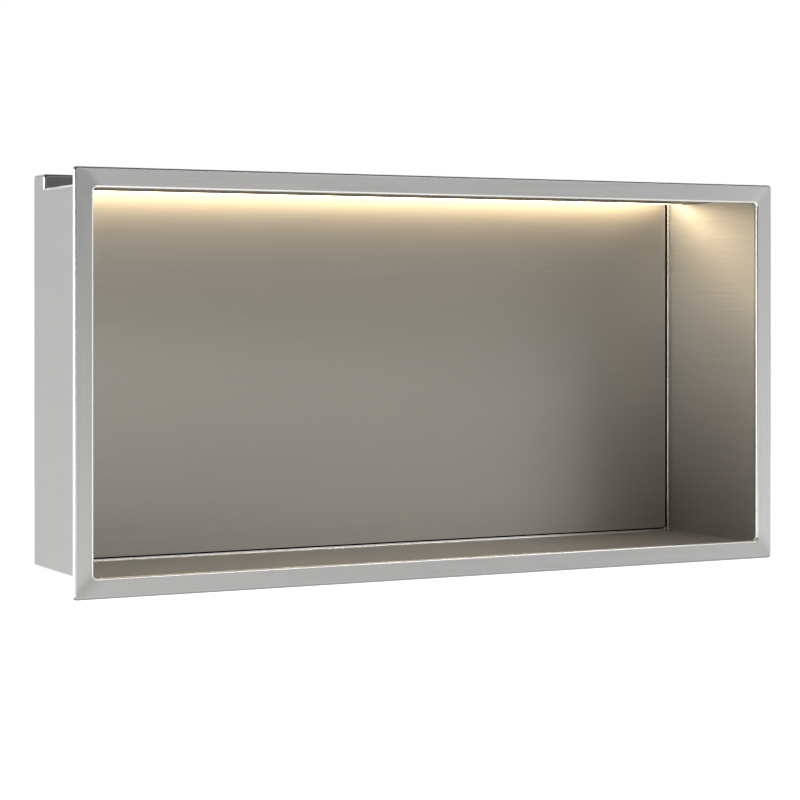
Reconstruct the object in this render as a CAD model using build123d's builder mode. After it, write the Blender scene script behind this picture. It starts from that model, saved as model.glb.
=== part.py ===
from build123d import *
import os

# Recessed shower niche in folded stainless sheet, with a light strip hidden at the top of its back.
# Frame: X to the right, Y into the wall, Z up. The origin is the centre of the flange, in the plane
# that seats on the tile. Millimetres.

# Driving sizes of the sheet metal
flange_width = 600.0
flange_height = 305.0
flange_face = 15.0  # outer edge of the flange to its folded inner edge
flange_return = 3.0  # edge turned back, from the front face to the tile
flange_corner = 2.5
niche_depth = 131.2  # flange's front face to the outside of the back
mouth_depth = 4.5  # flange's front face to the step behind its folded edge
mouth_step = 3.2  # ceiling and floor stand this far outside the folded edge
mouth_corner = 2.5
sheet = 1.2
fold_inside = 0.8  # folds at the flange's edge, at the opening and at the trough's slot
bend_inside = 1.2  # bends in the niche's corners and along its back
rear_lip = 12.0  # turned in behind the back panel, to carry it
window_corner = 4.0
pocket_land = 0.6  # end of the rear bend to the pocket that is pressed into the lips for the panel
pocket_edge = 0.5
pocket_corner = 4.0
panel_seam = 1.2  # back panel's edge to the pocket's edge, an open seam all round

# Driving sizes of the light trough, a raised channel along the back of the ceiling
trough_depth = 25.2  # outside, front to back
trough_rise = 10.4  # ceiling to the trough's roof, both undersides

# Driving sizes of the light strip, bonded to the trough's roof
sleeve_height = 10.0
sleeve_wall = 0.8
sleeve_base = 2.4  # above the tape, on the trough's roof
sleeve_edge = 1.2
sleeve_clearance = 0.1  # sleeve's back to the end of the bend behind it
tape_width = 10.0
tape_thickness = 0.4
tape_side_room = 0.2
chip_length = 2.8
chip_width = 3.5
chip_height = 0.8
chip_room = 0.3  # below the chips, inside the sleeve
chip_pitch = 1000.0 / 120.0  # 120 chips a metre
chips_per_group = 3  # fed by one resistor, between two cutting marks
resistor_length = 2.0
resistor_width = 1.25
resistor_height = 0.5
cap_length = 6.0
spigot_length = 5.0
spigot_clearance = 0.1
tape_end_room = 1.0  # least room from the tape's end to the cap's spigot
blank_end_room = 2.0  # left end of the strip to the niche's wall
lead_end_room = 2.0  # right end of the strip to the niche's wall

# Driving sizes of the lead's way out, through the trough's right end
lead_hole = 2.4
socket_depth = 4.5  # lead's socket in the right end cap
wire_slot = 0.7  # height of the slot for the lead's two wires
grommet_neck = 4.0
grommet_flange = 6.0
grommet_lip = 1.0
grommet_edge = 0.3
grommet_clearance = 0.1

# Depths, heights and widths of the sheet metal that follow
fold_outside = fold_inside + sheet
y_front = -flange_return
y_step = y_front + mouth_depth
y_rear = y_front + niche_depth
y_lip = y_rear - sheet
y_panel = y_lip - sheet
y_trough = y_rear - trough_depth + sheet
opening_width = flange_width - 2 * flange_face
opening_height = flange_height - 2 * flange_face
x_wall = opening_width / 2
z_ceiling = opening_height / 2 + mouth_step
z_floor = -z_ceiling
z_roof = z_ceiling + trough_rise
pocket_inset = bend_inside + pocket_land
pocket_width = opening_width - 2 * pocket_inset
pocket_height = z_roof - z_floor - 2 * pocket_inset
z_pocket = (z_floor + z_roof) / 2

# Places of the light strip that follow
room_width = tape_width + 2 * tape_side_room
room_height = tape_thickness + chip_height + chip_room
sleeve_width = room_width + 2 * sleeve_wall
y_strip = y_panel - bend_inside - sleeve_clearance - sleeve_width / 2
z_room = z_roof - sleeve_base
z_spigot = z_room - room_height / 2
x_sleeve_left = -x_wall + blank_end_room + cap_length
x_sleeve_right = x_wall - lead_end_room - cap_length
x_tape = (x_sleeve_left + x_sleeve_right) / 2
group_length = chips_per_group * chip_pitch
tape_room = x_sleeve_right - x_sleeve_left - 2 * (spigot_length + tape_end_room)
group_count = int(tape_room // group_length)
tape_length = group_count * group_length
z_grommet = z_roof - bend_inside - grommet_flange / 2 - grommet_clearance

# The flange's front face: this plane looks into the wall, with local y up
front_plane = Plane(origin=(0, y_front, 0), x_dir=(-1, 0, 0), z_dir=(0, 1, 0))
# The back panel's front face, flush with the lips round its pocket: the same way round
pocket_plane = Plane(origin=(0, y_panel, z_pocket), x_dir=(-1, 0, 0), z_dir=(0, 1, 0))
# The tape's lower face: this plane looks down, with local x to the right
tape_plane = Plane(origin=(x_tape, y_strip, z_room - tape_thickness), x_dir=(1, 0, 0), z_dir=(0, 0, -1))
# The face of the trough's right end wall, inside: this plane looks out to the right
end_plane = Plane.YZ.offset(x_wall)


def niche_form(grow):
    """The room inside the niche and its trough as a solid, or its outside when grown by the sheet."""
    floor, ceiling, roof = z_floor - grow, z_ceiling + grow, z_roof + grow
    step, back, trough = y_step - grow, y_panel + grow, y_trough - grow
    soft = bend_inside + grow
    slot_edge = fold_outside - grow
    with BuildPart() as form:
        with BuildSketch(Plane.YZ):
            with BuildLine():
                FilletPolyline(
                    (step, floor),
                    (back, floor),
                    (back, roof),
                    (trough, roof),
                    (trough, ceiling),
                    (step, ceiling),
                    radius=[0, soft, soft, soft, slot_edge, 0],
                    close=True,
                )
            make_face()
        extrude(amount=x_wall + grow, both=True)
        front = form.faces().sort_by(Axis.Y)[0].edges()
        ends = form.faces().filter_by(Axis.X).edges()
        fillet([edge for edge in ends if edge not in front], radius=soft)
        with BuildSketch(front_plane):
            RectangleRounded(opening_width + 2 * grow, opening_height + 2 * grow, mouth_corner + grow)
        extrude(amount=mouth_depth)
    return form.part


# Outline of the light strip across its length, local x into the wall: flat above, rounded below
with BuildSketch() as sleeve_section:
    with BuildLine():
        FilletPolyline(
            (y_strip - sleeve_width / 2, z_roof),
            (y_strip - sleeve_width / 2, z_roof - sleeve_height),
            (y_strip + sleeve_width / 2, z_roof - sleeve_height),
            (y_strip + sleeve_width / 2, z_roof),
            radius=[0, sleeve_edge, sleeve_edge, 0],
            close=True,
        )
    make_face()

# The spigot of an end cap, which plugs the sleeve's room
with BuildSketch() as spigot_section:
    with Locations((y_strip, z_spigot)):
        Rectangle(room_width - 2 * spigot_clearance, room_height - 2 * spigot_clearance)

with BuildPart() as niche_shell:
    with BuildSketch(front_plane):
        RectangleRounded(flange_width, flange_height, flange_corner)
    extrude(amount=flange_return)
    fillet(niche_shell.edges().group_by(Axis.Y)[0], radius=fold_outside)
    with BuildSketch(front_plane.offset(sheet)):
        RectangleRounded(flange_width - 2 * sheet, flange_height - 2 * sheet, flange_corner - sheet)
    extrude(amount=flange_return - sheet, mode=Mode.SUBTRACT)
    add(niche_form(sheet))
    add(niche_form(0), mode=Mode.SUBTRACT)
    flat_faces = niche_shell.faces().filter_by(Axis.Y).sort_by(Axis.Y)
    fillet(flat_faces[0].inner_wires()[0].edges(), radius=fold_outside)
    flat_faces = niche_shell.faces().filter_by(Axis.Y).sort_by(Axis.Y)
    fillet(flat_faces[1].edges(), radius=fold_inside)
    with BuildSketch(pocket_plane):
        RectangleRounded(pocket_width + 2 * sheet, pocket_height + 2 * sheet, pocket_corner + sheet)
    extrude(amount=2 * sheet)
    with BuildSketch(pocket_plane):
        RectangleRounded(pocket_width, pocket_height, pocket_corner)
    extrude(amount=sheet, mode=Mode.SUBTRACT)
    flat_faces = niche_shell.faces().filter_by(Axis.Y)
    ring = flat_faces.filter_by_position(Axis.Y, y_panel - sheet / 2, y_panel + sheet / 2)[0]
    fillet(ring.inner_wires()[0].edges(), radius=pocket_edge)
    with BuildSketch(front_plane.offset(niche_depth - sheet)):
        RectangleRounded(2 * (x_wall - rear_lip), 2 * (z_ceiling - rear_lip), window_corner)
    extrude(amount=sheet, mode=Mode.SUBTRACT)
    with BuildSketch(end_plane):
        with Locations((y_strip, z_grommet)):
            Circle(grommet_neck / 2 + grommet_clearance)
    extrude(amount=sheet, mode=Mode.SUBTRACT)
niche_shell.part.label = "niche_shell"

with BuildPart() as back_panel:
    with BuildSketch(pocket_plane):
        RectangleRounded(pocket_width - 2 * panel_seam, pocket_height - 2 * panel_seam, pocket_corner - panel_seam)
    extrude(amount=sheet)
back_panel.part.label = "back_panel"

with BuildPart() as silicone_sleeve:
    with BuildSketch(Plane.YZ.offset(x_sleeve_left)):
        add(sleeve_section.sketch)
        with Locations((y_strip, z_spigot)):
            Rectangle(room_width, room_height, mode=Mode.SUBTRACT)
    extrude(amount=x_sleeve_right - x_sleeve_left)
silicone_sleeve.part.label = "silicone_sleeve"

with BuildPart() as led_tape:
    with BuildSketch(tape_plane):
        Rectangle(tape_length, tape_width)
    extrude(amount=-tape_thickness)
led_tape.part.label = "led_tape"

with BuildPart() as led_chips:
    with BuildSketch(tape_plane):
        with GridLocations(chip_pitch, chip_width, group_count * chips_per_group, 1):
            Rectangle(chip_length, chip_width)
    extrude(amount=chip_height)
led_chips.part.label = "led_chips"

with BuildPart() as tape_resistors:
    with BuildSketch(tape_plane):
        with Locations((chip_pitch / 2, 0)):
            with GridLocations(group_length, resistor_width, group_count, 1):
                Rectangle(resistor_length, resistor_width)
    extrude(amount=resistor_height)
tape_resistors.part.label = "tape_resistors"

with BuildPart() as sleeve_end_cap_left:
    with BuildSketch(Plane.YZ.offset(x_sleeve_left)):
        add(sleeve_section.sketch)
    extrude(amount=-cap_length)
    with BuildSketch(Plane.YZ.offset(x_sleeve_left)):
        add(spigot_section.sketch)
    extrude(amount=spigot_length)
sleeve_end_cap_left.part.label = "sleeve_end_cap_left"

with BuildPart() as sleeve_end_cap_right:
    with BuildSketch(Plane.YZ.offset(x_sleeve_right)):
        add(sleeve_section.sketch)
    extrude(amount=cap_length)
    with BuildSketch(Plane.YZ.offset(x_sleeve_right)):
        add(spigot_section.sketch)
    extrude(amount=-spigot_length)
    with BuildSketch(Plane.YZ.offset(x_sleeve_right + cap_length)):
        with Locations((y_strip, z_grommet)):
            Circle(lead_hole / 2)
    extrude(amount=-socket_depth, mode=Mode.SUBTRACT)
    with BuildSketch(Plane.YZ.offset(x_sleeve_right - spigot_length)):
        with Locations((y_strip, z_spigot)):
            Rectangle(lead_hole, wire_slot)
    extrude(amount=spigot_length + cap_length - socket_depth, mode=Mode.SUBTRACT)
sleeve_end_cap_right.part.label = "sleeve_end_cap_right"

with BuildPart() as cable_grommet:
    with BuildSketch(end_plane.offset(-grommet_lip)):
        with Locations((y_strip, z_grommet)):
            Circle(grommet_flange / 2)
    extrude(amount=grommet_lip)
    with BuildSketch(end_plane):
        with Locations((y_strip, z_grommet)):
            Circle(grommet_neck / 2)
    extrude(amount=sheet)
    with BuildSketch(end_plane.offset(sheet)):
        with Locations((y_strip, z_grommet)):
            Circle(grommet_flange / 2)
    extrude(amount=grommet_lip)
    rims = cable_grommet.edges().filter_by(GeomType.CIRCLE).group_by(Axis.X)
    fillet(rims[0] + rims[-1], radius=grommet_edge)
    with BuildSketch(end_plane.offset(-grommet_lip)):
        with Locations((y_strip, z_grommet)):
            Circle(lead_hole / 2)
    extrude(amount=2 * grommet_lip + sheet, mode=Mode.SUBTRACT)
cable_grommet.part.label = "cable_grommet"

os.makedirs("parts", exist_ok=True)
export_step(niche_shell.part, "parts/niche_shell.step")
export_step(back_panel.part, "parts/back_panel.step")
export_step(silicone_sleeve.part, "parts/silicone_sleeve.step")
export_step(led_tape.part, "parts/led_tape.step")
export_step(led_chips.part, "parts/led_chips.step")
export_step(tape_resistors.part, "parts/tape_resistors.step")
export_step(sleeve_end_cap_left.part, "parts/sleeve_end_cap_left.step")
export_step(sleeve_end_cap_right.part, "parts/sleeve_end_cap_right.step")
export_step(cable_grommet.part, "parts/cable_grommet.step")
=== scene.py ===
"""A recessed shower niche in brushed stainless steel, with a warm light strip hidden above its back."""

import math
from types import SimpleNamespace

import bpy
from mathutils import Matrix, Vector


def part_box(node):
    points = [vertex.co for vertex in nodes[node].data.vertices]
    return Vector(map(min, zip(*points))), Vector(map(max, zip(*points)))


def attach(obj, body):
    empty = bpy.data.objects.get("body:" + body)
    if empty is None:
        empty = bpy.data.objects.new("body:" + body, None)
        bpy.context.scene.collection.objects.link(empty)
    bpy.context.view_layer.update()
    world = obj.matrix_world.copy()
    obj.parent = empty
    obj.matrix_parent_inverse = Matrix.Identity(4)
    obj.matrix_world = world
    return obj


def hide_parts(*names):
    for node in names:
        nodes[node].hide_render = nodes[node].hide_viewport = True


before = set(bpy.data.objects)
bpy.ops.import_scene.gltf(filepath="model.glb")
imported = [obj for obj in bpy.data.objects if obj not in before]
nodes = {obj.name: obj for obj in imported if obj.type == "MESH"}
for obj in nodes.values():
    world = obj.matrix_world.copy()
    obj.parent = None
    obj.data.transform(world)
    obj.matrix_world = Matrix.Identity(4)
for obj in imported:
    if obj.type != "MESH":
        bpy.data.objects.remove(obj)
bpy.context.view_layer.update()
scene = bpy.context.scene
MM = 0.001

# Sizes of the folded sheet, as in the CAD
SHEET = 1.2 * MM
FLANGE_FACE = 15 * MM
MOUTH_STEP = 3.2 * MM
BEND_INSIDE = 1.2 * MM
TROUGH_DEEP = 25.2 * MM
TROUGH_RISE = 10.4 * MM

# Places on the shell that its finish follows
shell_low, shell_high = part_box("niche_shell")
panel_low, panel_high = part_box("back_panel")
WALL_INSIDE = shell_high.x - FLANGE_FACE  # end walls, and the folded edge of the flange's two uprights
MOUTH_TOP = shell_high.z - FLANGE_FACE  # folded edge of the flange's two rails
CEILING = MOUTH_TOP + MOUTH_STEP
PAST_WALL_X = WALL_INSIDE + 2.5 * MM  # just outside the end walls, so only the flange is beyond
BEHIND_FLANGE_Y = 0.3 * MM  # just behind the flange's seat
OUTER_FOLD = 2.3 * MM  # from the flange's rim to just inside its outer fold
CORNER_SWEEP = 14 * MM  # either side of the flange's corners, where its scratches turn
POCKET_MIDDLE = TROUGH_RISE / 2  # of the pocket for the back panel
POCKET_X = WALL_INSIDE - BEND_INSIDE  # just past the pocket's edge, at the end of the bend
POCKET_Z = CEILING + POCKET_MIDDLE - BEND_INSIDE  # the same, up and down from the pocket's middle
SEAM_Y = panel_low.y + 0.4 * MM  # a little way into the seam round the back panel
REAR_BEND_Y = panel_low.y - 0.3 * MM  # near the end of the bend from the end walls to the lips
REAR_CORNER_X = POCKET_X - 1 * MM
REAR_FACE_Y = shell_high.y - 0.1 * MM  # just under the rear faces of the lips

# The middle of the sheet's thickness, which parts the inside of the box from its outside
MIDDLE_X = WALL_INSIDE + SHEET / 2
MIDDLE_Z = CEILING + SHEET / 2
MIDDLE_TROUGH_Y = shell_high.y - TROUGH_DEEP + SHEET / 2
MIDDLE_BACK_Y = panel_low.y + SHEET / 2
MIDDLE_FLANGE_Y = shell_low.y + SHEET / 2

# Cosines of how far a face is turned off an axis
ALONG = 0.7  # less than this, and it no longer looks along the axis
OUT_OF_BACK = 0.5  # less than this, and it doesn't look out of the back
BEND_STARTS = 0.995  # from flat here to a bend at the next
BENDS = 0.96

# Marks of making and use on the steel
SCRATCH_WIDE = 0.7 * MM  # near 0.05 mm on real sheet, and drawn wider so that they show in the render
SCRATCH_LONG = 90 * MM
SCRATCH_DEEP = 0.006 * MM
WELD_IN = 6 * MM  # spot welds, in from the end walls, the floor and the ceiling
WELD_PITCH = 50 * MM
WELD_RING = 4.0 * MM
WELD_CORE = 2.2 * MM
WELD_BLUR = 0.8 * MM
END_DIM_TOP = 60 * MM  # end walls, with painted shade from here down
END_DIM_BOTTOM = -137 * MM
PAINTED_PALE_TOP = -50 * MM  # back panel, with painted light making it paler from here down
PAINTED_PALE_BOTTOM = -138 * MM
EDGE_HIGHLIGHT_WIDE = 1.2 * MM  # width of the painted highlight along the back panel's cut edges

# Sizes and places of the light strip, as in the CAD
CHIP_PITCH = 1000 * MM / 120
CHIP_LONG = 2.8 * MM
GROUP_LONG = 3 * CHIP_PITCH  # from one cutting mark of the tape to the next
PAD_LONG = 3 * MM
PAD_WIDE = 2.2 * MM
PAD_OUT = 2.8 * MM  # from the middle of the tape to the middle of a pad
RESISTOR_LONG = 2 * MM
RESISTOR_BODY = 1.24 * MM  # length of the black body between its tinned ends
CAP_LONG = 6 * MM
FADE_LONG = 40 * MM  # at each end of the sleeve
DOME_RADIUS = 1.2 * MM
DOME_DROP = 0.12 * MM
sleeve_low, sleeve_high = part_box("silicone_sleeve")
chips_low, chips_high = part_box("led_chips")
tape_low, tape_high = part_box("led_tape")
resistors_low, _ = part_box("tape_resistors")
SLEEVE_MIDDLE = (sleeve_low.x + sleeve_high.x) / 2
SLEEVE_HALF = (sleeve_high.x - sleeve_low.x) / 2
FIRST_CHIP = chips_low.x + CHIP_LONG / 2
GEL_TOP = chips_low.z - 0.005 * MM  # just under the chips' bodies
FIRST_RESISTOR = resistors_low.x + RESISTOR_LONG / 2
TAPE_MIDDLE = (tape_low.y + tape_high.y) / 2


def linear(hex_colour):
    """An sRGB hex colour as the linear values that Blender's sockets take."""
    channels = [int(hex_colour[i:i + 2], 16) / 255 for i in (1, 3, 5)]
    return [c / 12.92 if c <= 0.04045 else ((c + 0.055) / 1.055) ** 2.4 for c in channels] + [1.0]


# The strip's light
LIT = linear("#ffe3b6")
LIT_LEVEL = 9.0
RIPPLE = 0.08  # share by which the sleeve is brighter under a chip, and dimmer between two


def add(tree, kind, inputs=None, **settings):
    """Adds a node with its settings, and sets or links its inputs. A node as an input is its first output."""
    made = tree.nodes.new(kind)
    for name, value in settings.items():
        setattr(made, name, value)
    for socket, value in (inputs or {}).items():
        if isinstance(value, bpy.types.Node):
            value = value.outputs[0]
        if isinstance(value, bpy.types.NodeSocket):
            tree.links.new(value, made.inputs[socket])
        else:
            made.inputs[socket].default_value = value
    return made


def material(name):
    """A new material, its tree, and where a point is on the piece that wears it."""
    made = bpy.data.materials.new(name)
    made.use_nodes = True
    tree = made.node_tree
    tree.nodes.clear()
    return made, tree, add(tree, "ShaderNodeTexCoord").outputs["Object"]


def dress(piece, finish):
    """Gives a whole piece one finish."""
    piece.data.materials.clear()
    piece.data.materials.append(finish)


def paint_ramp(ramp, stops, colour=(1, 1, 1)):
    """Sets a colour ramp's stops from pairs of a place and a level of one colour."""
    while len(ramp.elements) < len(stops):
        ramp.elements.new(1.0)
    for element, (place, level) in zip(ramp.elements, stops):
        element.position = place
        element.color = [level * c for c in colour[:3]] + [1]


def product(tree, *factors):
    """The product of several values."""
    whole = factors[0]
    for factor in factors[1:]:
        whole = add(tree, "ShaderNodeMath", {0: whole, 1: factor}, operation="MULTIPLY")
    return whole


def where(tree, *tests):
    """One where every test holds, and none elsewhere. A test is a value, a comparison and an edge."""
    return product(tree, *[
        add(tree, "ShaderNodeMath", {0: value, 1: edge}, operation=comparison)
        for value, comparison, edge in tests
    ])


def shaded(tree, tone, parts):
    """A tone, made paler or darker on each part of a piece. A part is a mask and a factor."""
    for mask, factor in parts:
        tone = add(tree, "ShaderNodeMix", {
            "Factor": mask, 6: tone, 7: (factor, factor, factor, 1),
        }, data_type="RGBA", blend_type="MULTIPLY").outputs[2]
    return tone


def belt_scratches(tree, place, way):
    """Scratches of a brushing belt along a way: 0 in the deepest, 1 on the crests."""
    run = add(tree, "ShaderNodeVectorMath", {0: place, 1: way}, operation="DOT_PRODUCT")
    pull = product(tree, run.outputs["Value"], 1 / SCRATCH_WIDE - 1 / SCRATCH_LONG)
    drawn = add(tree, "ShaderNodeVectorMath", {0: way, "Scale": pull}, operation="SCALE")
    fine = add(tree, "ShaderNodeVectorMath", {0: place, "Scale": 1 / SCRATCH_WIDE}, operation="SCALE")
    streak = add(tree, "ShaderNodeVectorMath", {0: fine, 1: drawn}, operation="SUBTRACT")
    noise = add(tree, "ShaderNodeTexNoise", {"Vector": streak, "Scale": 1.0, "Detail": 3.0, "Roughness": 0.6})
    return add(tree, "ShaderNodeMapRange", {"Value": noise, "From Min": 0.25, "From Max": 0.75})


def brushed_tone(tree, scratches, hex_colour, in_scratch, on_crest):
    """A steel's colour, a little darker in its scratches and brighter on their crests."""
    tone = add(tree, "ShaderNodeValToRGB", {"Fac": scratches})
    paint_ramp(tone.color_ramp, [(0, in_scratch), (1, on_crest)], linear(hex_colour))
    return tone


def brushed_steel(tree, tone, scratches, way, rough, drawn_out, wide_rough, wide_share):
    """Steel that draws a reflection out across its scratches, and throws a share of the light wide."""
    grooves = add(tree, "ShaderNodeBump", {"Strength": 0.5, "Distance": SCRATCH_DEEP, "Height": scratches})
    brushed = add(tree, "ShaderNodeBsdfPrincipled", {
        "Base Color": tone, "Metallic": 1.0, "Roughness": rough, "Normal": grooves,
        "Anisotropic": drawn_out, "Anisotropic Rotation": 0.25, "Tangent": way,
    })
    wide = add(tree, "ShaderNodeBsdfPrincipled", {
        "Base Color": tone, "Metallic": 1.0, "Roughness": wide_rough, "Normal": grooves,
    })
    both = add(tree, "ShaderNodeMixShader", {0: wide_share, 1: brushed, 2: wide})
    add(tree, "ShaderNodeOutputMaterial", {"Surface": both})


def shell_point(tree, place):
    """Where a point on the shell is and which way it faces, also without the signs."""
    at = add(tree, "ShaderNodeSeparateXYZ", {0: place}).outputs
    normal = add(tree, "ShaderNodeNewGeometry").outputs["Normal"]
    facing = add(tree, "ShaderNodeSeparateXYZ", {0: normal}).outputs
    out_x, out_z, sideways, forward, upward = [
        add(tree, "ShaderNodeMath", {0: value}, operation="ABSOLUTE")
        for value in (at["X"], at["Z"], facing["X"], facing["Y"], facing["Z"])
    ]
    return SimpleNamespace(
        x=at["X"], y=at["Y"], z=at["Z"], out_x=out_x, out_z=out_z, facing_y=facing["Y"], facing_z=facing["Z"],
        sideways=sideways, forward=forward, upward=upward,
    )


def brushing_way(tree, point, wall):
    """The way the belt ran: sideways, from front to back on the end walls, up and down on the uprights."""
    end_wall = product(tree, wall, where(tree, (point.out_x, "LESS_THAN", PAST_WALL_X)))
    past_x = add(tree, "ShaderNodeMath", {0: point.out_x, 1: WALL_INSIDE}, operation="SUBTRACT")
    past_z = add(tree, "ShaderNodeMath", {0: point.out_z, 1: MOUTH_TOP}, operation="SUBTRACT")
    corner = add(tree, "ShaderNodeMath", {0: past_x, 1: past_z}, operation="SUBTRACT")
    upright = add(tree, "ShaderNodeMapRange", {
        "Value": corner, "From Min": -CORNER_SWEEP, "From Max": CORNER_SWEEP,
    }, interpolation_type="SMOOTHSTEP")
    level = add(tree, "ShaderNodeMath", {0: 1.0, 1: upright}, operation="SUBTRACT")
    off_wall = add(tree, "ShaderNodeMath", {0: 1.0, 1: end_wall}, operation="SUBTRACT")
    return add(tree, "ShaderNodeCombineXYZ", {
        "X": product(tree, level, off_wall), "Y": end_wall, "Z": product(tree, upright, off_wall),
    })


def folds_and_bends(tree, point):
    """One where a face is turned off all three axes, and none on the flats."""
    lengthways = add(tree, "ShaderNodeMath", {0: point.sideways, 1: point.forward}, operation="MAXIMUM")
    squarest = add(tree, "ShaderNodeMath", {0: lengthways, 1: point.upward}, operation="MAXIMUM")
    return add(tree, "ShaderNodeMapRange", {"Value": squarest, "From Min": BEND_STARTS, "From Max": BENDS})


def inside_of_box(tree, point):
    """One on the faces that the niche shows inside, and none on its outside."""
    under_trough = where(tree, (point.y, "GREATER_THAN", MIDDLE_TROUGH_Y))
    roof = add(tree, "ShaderNodeMath", {
        0: under_trough, 1: TROUGH_RISE, 2: MIDDLE_Z,
    }, operation="MULTIPLY_ADD")
    return where(
        tree,
        (point.out_x, "LESS_THAN", MIDDLE_X), (point.z, "GREATER_THAN", -MIDDLE_Z),
        (point.z, "LESS_THAN", roof), (point.y, "LESS_THAN", MIDDLE_BACK_Y),
    )


def panel_seam(tree, point, inside):
    """One in the seam round the back panel and in the rear corners beside it, and none elsewhere."""
    off_middle = add(tree, "ShaderNodeMath", {0: point.z, 1: POCKET_MIDDLE}, operation="SUBTRACT")
    off_pocket = add(tree, "ShaderNodeMath", {0: off_middle}, operation="ABSOLUTE")
    seam = where(
        tree,
        (point.y, "GREATER_THAN", SEAM_Y), (point.facing_y, "LESS_THAN", OUT_OF_BACK),
        (point.out_x, "LESS_THAN", POCKET_X), (off_pocket, "LESS_THAN", POCKET_Z),
    )
    rear_corner = product(tree, inside, where(
        tree, (point.y, "GREATER_THAN", REAR_BEND_Y), (point.out_x, "GREATER_THAN", REAR_CORNER_X),
    ))
    return add(tree, "ShaderNodeMath", {0: seam, 1: rear_corner}, operation="MAXIMUM")


def weld_marks(tree, point, tone):
    """A tone with the spot welds on the rear lips, each in a ring of straw-brown heat tint."""
    rear_lip = where(tree, (point.y, "GREATER_THAN", REAR_FACE_Y), (point.out_z, "LESS_THAN", MIDDLE_Z))
    nearest = []
    for across, along, line in (
        (point.out_z, point.out_x, CEILING - WELD_IN),
        (point.out_x, point.out_z, WALL_INSIDE - WELD_IN),
    ):
        off_line = add(tree, "ShaderNodeMath", {0: across, 1: line}, operation="SUBTRACT")
        off_pitch = add(tree, "ShaderNodeMath", {0: along, 1: WELD_PITCH / 2}, operation="PINGPONG")
        apart = add(tree, "ShaderNodeCombineXYZ", {"X": off_line, "Y": off_pitch})
        nearest.append(add(tree, "ShaderNodeVectorMath", {0: apart}, operation="LENGTH").outputs["Value"])
    off_weld = add(tree, "ShaderNodeMath", {0: nearest[0], 1: nearest[1]}, operation="MINIMUM")
    for reach, tint in ((WELD_RING, "#ada390"), (WELD_CORE, "#7f7d7b")):
        mark = add(tree, "ShaderNodeMapRange", {
            "Value": off_weld, "From Min": reach, "From Max": reach - WELD_BLUR,
        })
        tone = add(tree, "ShaderNodeMix", {
            "Factor": product(tree, rear_lip, mark), 6: tone, 7: linear(tint),
        }, data_type="RGBA").outputs[2]
    return tone


def shell_finish():
    # Stainless sheet, belt brushed and folded: fine scratches draw each reflection out across them, and
    # the folds catch bright lines, from their smoother finish and from a painted highlight
    made, tree, place = material("stainless sheet, belt brushed and folded")
    point = shell_point(tree, place)
    wall = where(tree, (point.sideways, "GREATER_THAN", ALONG))
    lying = where(tree, (point.upward, "GREATER_THAN", ALONG))
    bent = folds_and_bends(tree, point)
    inside = inside_of_box(tree, point)
    not_inside = add(tree, "ShaderNodeMath", {0: 1.0, 1: inside}, operation="SUBTRACT")
    behind_front = where(tree, (point.y, "GREATER_THAN", MIDDLE_FLANGE_Y))
    behind_flange = where(tree, (point.y, "GREATER_THAN", BEHIND_FLANGE_Y))
    lining = product(tree, inside, behind_flange)
    inner_end = product(tree, wall, lining)
    low_down = add(tree, "ShaderNodeMapRange", {
        "Value": point.z, "From Min": END_DIM_TOP, "From Max": END_DIM_BOTTOM,
    })
    ceiling = product(tree, where(tree, (point.facing_z, "LESS_THAN", -ALONG)), lining)
    outer_fold = add(tree, "ShaderNodeMath", {
        0: where(tree, (point.out_z, "GREATER_THAN", shell_high.z - OUTER_FOLD)),
        1: where(tree, (point.x, "GREATER_THAN", shell_high.x - OUTER_FOLD)),
    }, operation="MAXIMUM")

    way = brushing_way(tree, point, wall)
    scratches = belt_scratches(tree, place, way)
    tone = brushed_tone(tree, scratches, "#c4c4c3", 0.93, 1.06)
    tone = shaded(tree, tone, (
        (product(tree, behind_flange, not_inside), 0.86),  # the outside of the box is a shade darker
        (product(tree, behind_front, not_inside, point.forward), 0.55),  # painted shade: the faces behind the flange's front that look forwards or back, as the trough's front, are darker
        (inner_end, 1.68),  # painted light: the end walls inside are made a paler grey
        (product(tree, inner_end, low_down), 0.42),  # painted shade: the end walls are darker towards the floor
        (ceiling, 0.15),  # painted shade: the ceiling is darkened, as it lies in the light's shadow
        (bent, 1.6),  # painted highlight: folds and bends are made brighter
        (product(tree, bent, outer_fold), 0.35),  # painted shade: the outer fold at the top, bottom and right is darker instead
        (panel_seam(tree, point, inside), 0.06),  # painted shade: the seam round the back panel and the rear corners beside it are near black
    ))
    tone = weld_marks(tree, point, tone)

    # The flats are rougher than the folds, the end walls inside most of all
    flat = add(tree, "ShaderNodeMapRange", {"Value": lying, "To Min": 0.40, "To Max": 0.30})
    walled = add(tree, "ShaderNodeMapRange", {
        "Value": product(tree, wall, inside), "To Min": flat, "To Max": 0.5,
    })
    uneven = add(tree, "ShaderNodeMapRange", {"Value": scratches, "To Min": -0.03, "To Max": 0.03})
    brushed = add(tree, "ShaderNodeMath", {0: walled, 1: uneven}, operation="ADD")
    rough = add(tree, "ShaderNodeMapRange", {"Value": bent, "To Min": brushed, "To Max": 0.2})
    # Inside, the sheet is dulled after brushing, so its flats throw a share of the light wide
    dull = add(tree, "ShaderNodeMapRange", {"Value": wall, "To Min": 0.6, "To Max": 0.65})
    unbent = add(tree, "ShaderNodeMath", {0: 1.0, 1: bent}, operation="SUBTRACT")
    wide_share = product(tree, lining, dull, unbent)
    brushed_steel(tree, tone, scratches, way, rough, drawn_out=0.75, wide_rough=0.6, wide_share=wide_share)
    return made


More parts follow.
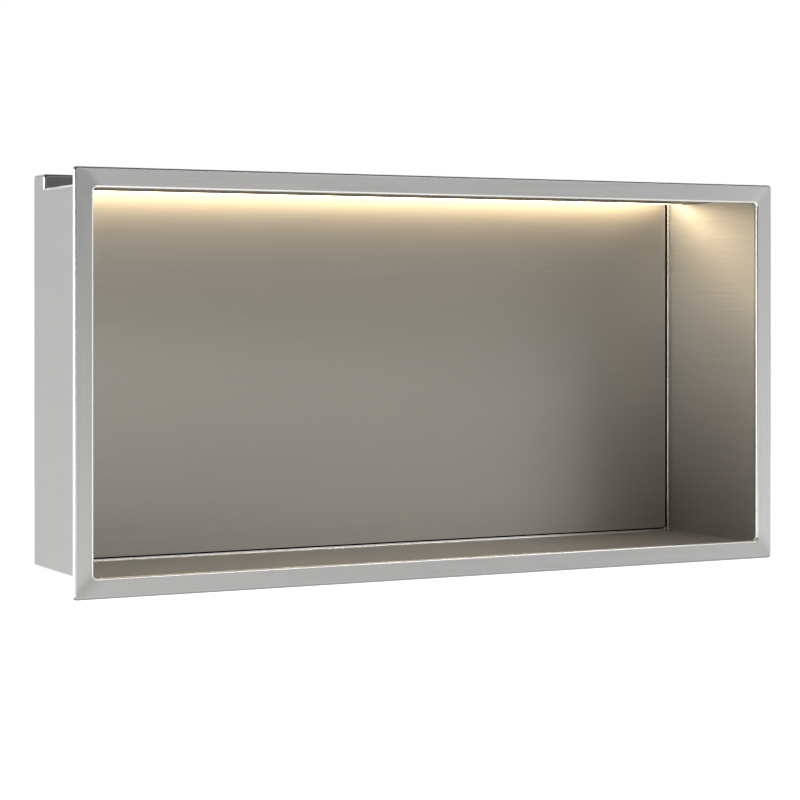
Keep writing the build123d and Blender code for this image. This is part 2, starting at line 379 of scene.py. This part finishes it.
def panel_finish():
    # Stainless back sheet, belt brushed sideways: the light above it is drawn out down the sheet
    made, tree, place = material("stainless back sheet, belt brushed")
    at = add(tree, "ShaderNodeSeparateXYZ", {0: place}).outputs
    way = add(tree, "ShaderNodeCombineXYZ", {"X": 1.0})
    scratches = belt_scratches(tree, place, way)
    low_down = add(tree, "ShaderNodeMapRange", {
        "Value": at["Z"], "From Min": PAINTED_PALE_TOP, "From Max": PAINTED_PALE_BOTTOM,
    }, interpolation_type="SMOOTHSTEP")
    out_x = add(tree, "ShaderNodeMath", {0: at["X"]}, operation="ABSOLUTE")
    cut_edge = add(tree, "ShaderNodeMapRange", {
        "Value": out_x, "From Min": panel_high.x - EDGE_HIGHLIGHT_WIDE, "From Max": panel_high.x - EDGE_HIGHLIGHT_WIDE / 2,
    })
    tone = brushed_tone(tree, scratches, "#bebbb3", 0.95, 1.045)
    tone = shaded(tree, tone, (
        (low_down, 1.1),  # painted light: a shade paler towards the bottom
        (cut_edge, 1.35),  # painted highlight: brighter along the cut edges
    ))
    rough = add(tree, "ShaderNodeMapRange", {"Value": scratches, "To Min": 0.43, "To Max": 0.49})
    brushed_steel(tree, tone, scratches, way, rough, drawn_out=0.93, wide_rough=0.85, wide_share=0.3)
    return made


def along_sleeve(tree, place):
    """How far a point of the light strip is from the middle of the sleeve, along it."""
    at = add(tree, "ShaderNodeSeparateXYZ", {0: place}).outputs
    off_middle = add(tree, "ShaderNodeMath", {0: at["X"], 1: SLEEVE_MIDDLE}, operation="SUBTRACT")
    return add(tree, "ShaderNodeMath", {0: off_middle}, operation="ABSOLUTE")


def sleeve_finish():
    # Milky silicone, extruded: it spreads the chips' light into one warm line, a little brighter under each
    made, tree, place = material("milky silicone, extruded, lit from inside")
    at = add(tree, "ShaderNodeSeparateXYZ", {0: place}).outputs
    past_first = add(tree, "ShaderNodeMath", {0: at["X"], 1: FIRST_CHIP}, operation="SUBTRACT")
    phase = product(tree, past_first, math.tau / CHIP_PITCH)
    wave = add(tree, "ShaderNodeMath", {0: phase}, operation="COSINE")
    ripple = add(tree, "ShaderNodeMapRange", {
        "Value": wave, "From Min": -1.0,
        "To Min": (1 - RIPPLE) * LIT_LEVEL, "To Max": (1 + RIPPLE) * LIT_LEVEL,
    })
    # The tape stops short of the sleeve's ends, so the light fades there
    fade = add(tree, "ShaderNodeMapRange", {
        "Value": along_sleeve(tree, place), "From Min": SLEEVE_HALF - FADE_LONG, "From Max": SLEEVE_HALF,
        "To Min": 1.0, "To Max": 0.5,
    })
    # Extruded silicone has a soft bloom: cloudy patches near 4 mm wide
    bloom = add(tree, "ShaderNodeTexNoise", {"Vector": place, "Scale": 1 / (4 * MM), "Detail": 2.0})
    satin = add(tree, "ShaderNodeMapRange", {"Value": bloom, "To Min": 0.38, "To Max": 0.58})
    shader = add(tree, "ShaderNodeBsdfPrincipled", {
        "Base Color": linear("#f3efe4"), "Roughness": satin, "IOR": 1.41,
        "Emission Color": LIT, "Emission Strength": product(tree, ripple, fade),
    })
    add(tree, "ShaderNodeOutputMaterial", {"Surface": shader})
    return made


def cap_finish():
    # White silicone, moulded: matt, and lit through from the sleeve's side, fading towards its outer end
    made, tree, place = material("white silicone, moulded")
    leak = add(tree, "ShaderNodeMapRange", {
        "Value": along_sleeve(tree, place), "From Min": SLEEVE_HALF, "From Max": SLEEVE_HALF + CAP_LONG,
        "To Min": 0.45 * LIT_LEVEL, "To Max": 0.25 * LIT_LEVEL,
    })
    # Moulded silicone has a finer bloom, in patches near 1.5 mm wide
    bloom = add(tree, "ShaderNodeTexNoise", {"Vector": place, "Scale": 1 / (1.5 * MM), "Detail": 2.0})
    matt = add(tree, "ShaderNodeMapRange", {"Value": bloom, "To Min": 0.55, "To Max": 0.7})
    shader = add(tree, "ShaderNodeBsdfPrincipled", {
        "Base Color": linear("#eceae3"), "Roughness": matt, "IOR": 1.41,
        "Emission Color": LIT, "Emission Strength": leak,
    })
    add(tree, "ShaderNodeOutputMaterial", {"Surface": shader})
    return made


def tape_finish():
    # Fibreglass tape with a white solder mask: matt white, with tinned copper pads at each cutting mark
    made, tree, place = material("fibreglass tape, white solder mask")
    at = add(tree, "ShaderNodeSeparateXYZ", {0: place}).outputs
    from_end = add(tree, "ShaderNodeMath", {0: at["X"], 1: tape_low.x}, operation="SUBTRACT")
    to_mark = add(tree, "ShaderNodeMath", {0: from_end, 1: GROUP_LONG / 2}, operation="PINGPONG")
    off_line = add(tree, "ShaderNodeMath", {0: at["Y"], 1: TAPE_MIDDLE}, operation="SUBTRACT")
    out_line = add(tree, "ShaderNodeMath", {0: off_line}, operation="ABSOLUTE")
    on_pad = add(tree, "ShaderNodeMath", {0: out_line, 1: PAD_OUT, 2: PAD_WIDE / 2}, operation="COMPARE")
    pad = product(tree, where(tree, (to_mark, "LESS_THAN", PAD_LONG / 2)), on_pad)
    # The print's grain is near 0.4 mm
    grain = add(tree, "ShaderNodeTexNoise", {"Vector": place, "Scale": 1 / (0.4 * MM), "Detail": 2.0})
    mask_tone = add(tree, "ShaderNodeMix", {
        "Factor": grain, 6: linear("#e6e6e1"), 7: linear("#f4f4f0"),
    }, data_type="RGBA")
    tone = add(tree, "ShaderNodeMix", {
        "Factor": pad, 6: mask_tone.outputs[2], 7: linear("#c9b49a"),
    }, data_type="RGBA")
    rough = add(tree, "ShaderNodeMapRange", {"Value": pad, "To Min": 0.55, "To Max": 0.3})
    shader = add(tree, "ShaderNodeBsdfPrincipled", {
        "Base Color": tone.outputs[2], "Metallic": pad, "Roughness": rough,
    })
    add(tree, "ShaderNodeOutputMaterial", {"Surface": shader})
    return made


def resistor_finish():
    # Thick-film resistors: a black glazed body between two tinned ends
    made, tree, place = material("glazed ceramic, tinned ends")
    at = add(tree, "ShaderNodeSeparateXYZ", {0: place}).outputs
    past_first = add(tree, "ShaderNodeMath", {0: at["X"], 1: FIRST_RESISTOR}, operation="SUBTRACT")
    off_centre = add(tree, "ShaderNodeMath", {0: past_first, 1: GROUP_LONG / 2}, operation="PINGPONG")
    tinned = where(tree, (off_centre, "GREATER_THAN", RESISTOR_BODY / 2))
    # The glaze is uneven over about 0.3 mm
    glaze = add(tree, "ShaderNodeTexNoise", {"Vector": place, "Scale": 1 / (0.3 * MM), "Detail": 2.0})
    black = add(tree, "ShaderNodeMix", {
        "Factor": glaze, 6: linear("#141414"), 7: linear("#262625"),
    }, data_type="RGBA")
    tone = add(tree, "ShaderNodeMix", {
        "Factor": tinned, 6: black.outputs[2], 7: linear("#c8c8c6"),
    }, data_type="RGBA")
    rough = add(tree, "ShaderNodeMapRange", {"Value": glaze, "To Min": 0.25, "To Max": 0.45})
    shader = add(tree, "ShaderNodeBsdfPrincipled", {
        "Base Color": tone.outputs[2], "Metallic": tinned, "Roughness": rough,
    })
    add(tree, "ShaderNodeOutputMaterial", {"Surface": shader})
    return made


def chip_finish():
    # LED chips: a white resin body, and below it a clear gel full of yellow phosphor
    made, tree, place = material("white resin chip with phosphor gel")
    at = add(tree, "ShaderNodeSeparateXYZ", {0: place}).outputs
    gel = where(tree, (at["Z"], "LESS_THAN", GEL_TOP))
    # The phosphor's specks are drawn 0.15 mm wide, coarser than they are, so that they show
    specks = add(tree, "ShaderNodeTexNoise", {"Vector": place, "Scale": 1 / (0.15 * MM), "Detail": 2.0})
    phosphor = add(tree, "ShaderNodeMix", {
        "Factor": specks, 6: linear("#e8b93c"), 7: linear("#f6d778"),
    }, data_type="RGBA")
    tone = add(tree, "ShaderNodeMix", {
        "Factor": gel, 6: linear("#f2f0ea"), 7: phosphor.outputs[2],
    }, data_type="RGBA")
    rough = add(tree, "ShaderNodeMapRange", {"Value": gel, "To Min": 0.5, "To Max": 0.15})
    shader = add(tree, "ShaderNodeBsdfPrincipled", {
        "Base Color": tone.outputs[2], "Roughness": rough,
        "Emission Color": LIT, "Emission Strength": product(tree, gel, LIT_LEVEL),
    })
    add(tree, "ShaderNodeOutputMaterial", {"Surface": shader})
    # The sleeve hides the chips, so their light is left to it and isn't sampled again
    made.cycles.emission_sampling = "NONE"
    return made


def grommet_finish():
    # Black rubber, moulded: matt, with a faint bloom in patches near 0.8 mm wide
    made, tree, place = material("black rubber, moulded")
    bloom = add(tree, "ShaderNodeTexNoise", {"Vector": place, "Scale": 1 / (0.8 * MM), "Detail": 3.0})
    tone = add(tree, "ShaderNodeMix", {
        "Factor": bloom, 6: linear("#161616"), 7: linear("#2b2b2a"),
    }, data_type="RGBA")
    rough = add(tree, "ShaderNodeMapRange", {"Value": bloom, "To Min": 0.5, "To Max": 0.75})
    pores = add(tree, "ShaderNodeBump", {"Strength": 0.2, "Distance": 0.05 * MM, "Height": bloom})
    shader = add(tree, "ShaderNodeBsdfPrincipled", {
        "Base Color": tone.outputs[2], "Roughness": rough, "IOR": 1.52, "Normal": pores,
    })
    add(tree, "ShaderNodeOutputMaterial", {"Surface": shader})
    return made


cap_silicone = cap_finish()
for name, finish in (
    ("niche_shell", shell_finish()),
    ("back_panel", panel_finish()),
    ("silicone_sleeve", sleeve_finish()),
    ("sleeve_end_cap_left", cap_silicone),
    ("sleeve_end_cap_right", cap_silicone),
    ("led_tape", tape_finish()),
    ("tape_resistors", resistor_finish()),
    ("cable_grommet", grommet_finish()),
):
    dress(nodes[name], finish)

# One chip is a block with a low gel dome below it, repeated along the tape
chip_row = bpy.data.node_groups.new("chips_along_the_tape", "GeometryNodeTree")
CHIP_SIZES = {
    "Count": ("NodeSocketInt", round((chips_high.x - chips_low.x - CHIP_LONG) / CHIP_PITCH) + 1),
    "Pitch": ("NodeSocketFloat", CHIP_PITCH),
    "First Chip": ("NodeSocketVector", (
        FIRST_CHIP, (chips_low.y + chips_high.y) / 2, (chips_low.z + chips_high.z) / 2,
    )),
    "Body": ("NodeSocketVector", (CHIP_LONG, chips_high.y - chips_low.y, chips_high.z - chips_low.z)),
    "Dome Radius": ("NodeSocketFloat", DOME_RADIUS),
    "Dome Drop": ("NodeSocketFloat", DOME_DROP),
}
for name, (kind, _) in CHIP_SIZES.items():
    chip_row.interface.new_socket(name=name, in_out="INPUT", socket_type=kind)
chip_row.interface.new_socket(name="Chips", in_out="OUTPUT", socket_type="NodeSocketGeometry")
asked = add(chip_row, "NodeGroupInput").outputs
step = add(chip_row, "ShaderNodeCombineXYZ", {"X": asked["Pitch"]})
row = add(chip_row, "GeometryNodeMeshLine", {
    "Count": asked["Count"], "Start Location": asked["First Chip"], "Offset": step,
})
body = add(chip_row, "GeometryNodeMeshCube", {"Size": asked["Body"]})
ball = add(chip_row, "GeometryNodeMeshUVSphere", {"Segments": 10, "Rings": 5, "Radius": asked["Dome Radius"]})
squash = add(chip_row, "ShaderNodeMath", {0: asked["Dome Drop"], 1: asked["Dome Radius"]}, operation="DIVIDE")
flatten = add(chip_row, "ShaderNodeCombineXYZ", {"X": 1.0, "Y": 1.0, "Z": squash})
sizes = add(chip_row, "ShaderNodeSeparateXYZ", {0: asked["Body"]})
down = add(chip_row, "ShaderNodeMath", {0: sizes.outputs["Z"], 1: -0.5}, operation="MULTIPLY")
drop = add(chip_row, "ShaderNodeCombineXYZ", {"Z": down})
dome = add(chip_row, "GeometryNodeTransform", {"Geometry": ball, "Translation": drop, "Scale": flatten})
chip = add(chip_row, "GeometryNodeJoinGeometry", {"Geometry": body})
chip_row.links.new(dome.outputs["Geometry"], chip.inputs["Geometry"])
placed = add(chip_row, "GeometryNodeInstanceOnPoints", {"Points": row, "Instance": chip})
real = add(chip_row, "GeometryNodeRealizeInstances", {"Geometry": placed})
dressed = add(chip_row, "GeometryNodeSetMaterial", {"Geometry": real, "Material": chip_finish()})
add(chip_row, "NodeGroupOutput", {"Chips": dressed})

lit_chips = bpy.data.objects.new("lit_chips", bpy.data.meshes.new("lit_chips"))
scene.collection.objects.link(lit_chips)
maker = lit_chips.modifiers.new("chips", "NODES")
maker.node_group = chip_row
for socket in chip_row.interface.items_tree:
    if socket.in_out == "INPUT":
        maker[socket.identifier] = CHIP_SIZES[socket.name][1]
evaluated = lit_chips.evaluated_get(bpy.context.evaluated_depsgraph_get())
chip_mesh = bpy.data.meshes.new_from_object(evaluated)
lit_chips.modifiers.clear()
lit_chips.data = chip_mesh
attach(lit_chips, "root")
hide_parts("led_chips")

# Studio: a white backdrop and floor, a dimmer room in front of the niche, and five softboxes round it.
# The room's levels go by degrees to the right of straight ahead, near the floor and above it, and by degrees
# up.
ROOM_LOW = [(-180, 1), (-174, 1), (-166, 0.8), (-76, 0.8), (-64, 0.45), (-28, 0.45), (-10, 1.3), (5, 1.5),
            (20, 0.78), (36, 0.5), (46, 0.4), (68, 0.4), (90, 1)]
ROOM_HIGH = [(-180, 1), (-174, 1), (-166, 0.8), (-76, 0.8), (-64, 0.08), (-15, 0.08), (5, 0.26),
             (20, 0.4), (29, 0.95), (36, 1), (46, 1), (68, 1), (75, 0.15), (134, 0.15), (140, 1)]
ROOM_UPWARD = [(-90, 0.7), (-62, 0.7), (-52, 0.8), (-40, 0.9), (-20, 1), (-7, 1), (-2, 1), (2, 0.5),
               (5, 0.42), (10, 0.45), (16, 0.6), (22, 0.68), (35, 0.68), (58, 0.4), (90, 0.3)]
LOW_ENDS = -8  # degrees up, where the levels near the floor give way to those above it
HIGH_STARTS = 4
CLOSE_BELOW = -50  # degrees up, where the floor starts to differ from side to side
FURTHER = -25
FULLY_BEHIND = 0.4  # how far back a way points, as the Y of a unit vector
WHITE = (1, 1, 1, 1)
AIR = (0.6, 0.6, 0.6, 1)  # light of the room on matt things
FLOOR_DOWN = 0.8
FLOOR_HALF = 9
LAMPS_AWAY = 1.8


def height(degrees):
    """How high a way out from the niche points, as the Z of a unit vector."""
    return math.sin(math.radians(degrees))


def backdrop_rays(tree):
    """One for the rays that see the backdrop, straight on or in metal and glass, and none for the rest."""
    path = add(tree, "ShaderNodeLightPath").outputs
    seen = add(tree, "ShaderNodeMath", {
        0: path["Is Camera Ray"], 1: path["Is Glossy Ray"],
    }, operation="MAXIMUM")
    return add(tree, "ShaderNodeMath", {0: seen, 1: path["Is Transmission Ray"]}, operation="MAXIMUM")


def room_light(tree, way):
    """How bright the studio is along a way out from the niche: white behind it, and dimmer in front, at
    the sides and overhead."""
    to = add(tree, "ShaderNodeSeparateXYZ", {0: way}).outputs
    ahead = product(tree, to["Y"], -1.0)
    turn = add(tree, "ShaderNodeMath", {0: to["X"], 1: ahead}, operation="ARCTAN2")
    turn_share = add(tree, "ShaderNodeMapRange", {"Value": turn, "From Min": -math.pi, "From Max": math.pi})
    bands = []
    for levels in (ROOM_LOW, ROOM_HIGH):
        band = add(tree, "ShaderNodeValToRGB", {"Fac": turn_share})
        paint_ramp(band.color_ramp, [(turned / 360 + 0.5, level) for turned, level in levels])
        bands.append(band)
    raised = add(tree, "ShaderNodeMapRange", {
        "Value": to["Z"], "From Min": height(LOW_ENDS), "From Max": height(HIGH_STARTS),
    })
    around = add(tree, "ShaderNodeMix", {"Factor": raised, 6: bands[0], 7: bands[1]}, data_type="RGBA")
    # Close below the niche the floor is the same all round
    further = add(tree, "ShaderNodeMapRange", {
        "Value": to["Z"], "From Min": height(CLOSE_BELOW), "From Max": height(FURTHER),
    }, interpolation_type="SMOOTHSTEP")
    around = add(tree, "ShaderNodeMix", {"Factor": further, 6: WHITE, 7: around.outputs[2]}, data_type="RGBA")
    height_share = add(tree, "ShaderNodeMapRange", {"Value": to["Z"], "From Min": -1.0, "From Max": 1.0})
    upward = add(tree, "ShaderNodeValToRGB", {"Fac": height_share})
    paint_ramp(upward.color_ramp, [(height(degrees) / 2 + 0.5, level) for degrees, level in ROOM_UPWARD])
    behind = add(tree, "ShaderNodeMapRange", {
        "Value": to["Y"], "From Min": 0.0, "From Max": FULLY_BEHIND,
    }, interpolation_type="SMOOTHSTEP")
    in_front = add(tree, "ShaderNodeMix", {"Factor": behind, 6: upward, 7: WHITE}, data_type="RGBA")
    return add(tree, "ShaderNodeMix", {
        "Factor": 1.0, 6: around.outputs[2], 7: in_front.outputs[2],
    }, data_type="RGBA", blend_type="MULTIPLY").outputs[2]


# Pale matt paint: plain, with the niche's shadow
floor_finish, tree, place = material("pale floor, matt")
pale = add(tree, "ShaderNodeBsdfDiffuse", {"Color": linear("#a8a8a6")})
reach = add(tree, "ShaderNodeVectorMath", {0: place, 1: (0, 0, -FLOOR_DOWN)}, operation="ADD")
way = add(tree, "ShaderNodeVectorMath", {0: reach}, operation="NORMALIZE")
bright = add(tree, "ShaderNodeEmission", {"Color": room_light(tree, way), "Strength": backdrop_rays(tree)})
both = add(tree, "ShaderNodeAddShader", {0: pale, 1: bright})
add(tree, "ShaderNodeOutputMaterial", {"Surface": both})
floor_mesh = bpy.data.meshes.new("floor")
floor_corners = [(x * FLOOR_HALF, y * FLOOR_HALF, 0) for x, y in ((-1, -1), (1, -1), (1, 1), (-1, 1))]
floor_mesh.from_pydata(floor_corners, [], [(0, 1, 2, 3)])
floor = bpy.data.objects.new("floor", floor_mesh)
floor.location.z = -FLOOR_DOWN
scene.collection.objects.link(floor)
dress(floor, floor_finish)

world = bpy.data.worlds.new("studio")
scene.world = world
world.use_nodes = True
tree = world.node_tree
tree.nodes.clear()
way = add(tree, "ShaderNodeTexCoord").outputs["Generated"]
air = add(tree, "ShaderNodeMix", {
    "Factor": backdrop_rays(tree), 6: AIR, 7: room_light(tree, way),
}, data_type="RGBA")
light = add(tree, "ShaderNodeBackground", {"Color": air.outputs[2]})
add(tree, "ShaderNodeOutputWorld", {"Surface": light})

# Softboxes: degrees to the right of straight ahead, degrees up, width and height in metres, and level
for name, turned, raised, across, tall, level in (
    ("softbox_left", -108, 0, 2.0, 2.4, 1.6),
    ("strip_left", -69, 0, 0.32, 0.5, 5.0),
    ("softbox_right", 60, 0, 0.6, 1.4, 1.7),
    ("softbox_above", 32, 42, 1.4, 0.3, 2.6),
    ("softbox_front", -17, 24, 0.6, 0.4, 1.7),
):
    softbox = bpy.data.lights.new(name, "AREA")
    softbox.shape = "RECTANGLE"
    softbox.size = across
    softbox.size_y = tall
    softbox.energy = level * math.pi * across * tall
    lamp = bpy.data.objects.new(name, softbox)
    turn = math.radians(turned)
    ahead = LAMPS_AWAY * math.cos(math.radians(raised))
    lamp.location = (ahead * math.sin(turn), -ahead * math.cos(turn), LAMPS_AWAY * height(raised))
    lamp.rotation_euler = (math.radians(90 - raised), 0, turn)
    scene.collection.objects.link(lamp)

# The camera, as fitted to the photograph's straight edges
camera = bpy.data.objects.new("camera", bpy.data.cameras.new("camera"))
scene.collection.objects.link(camera)
camera.location = (-0.8486, -1.5561, 0.0576)
camera.rotation_euler = (math.radians(90), 0, math.radians(-27.421))
camera.data.sensor_width = 36
camera.data.lens = 104.8
camera.data.shift_y = -0.1234
scene.camera = camera
scene.view_settings.view_transform = "Standard"
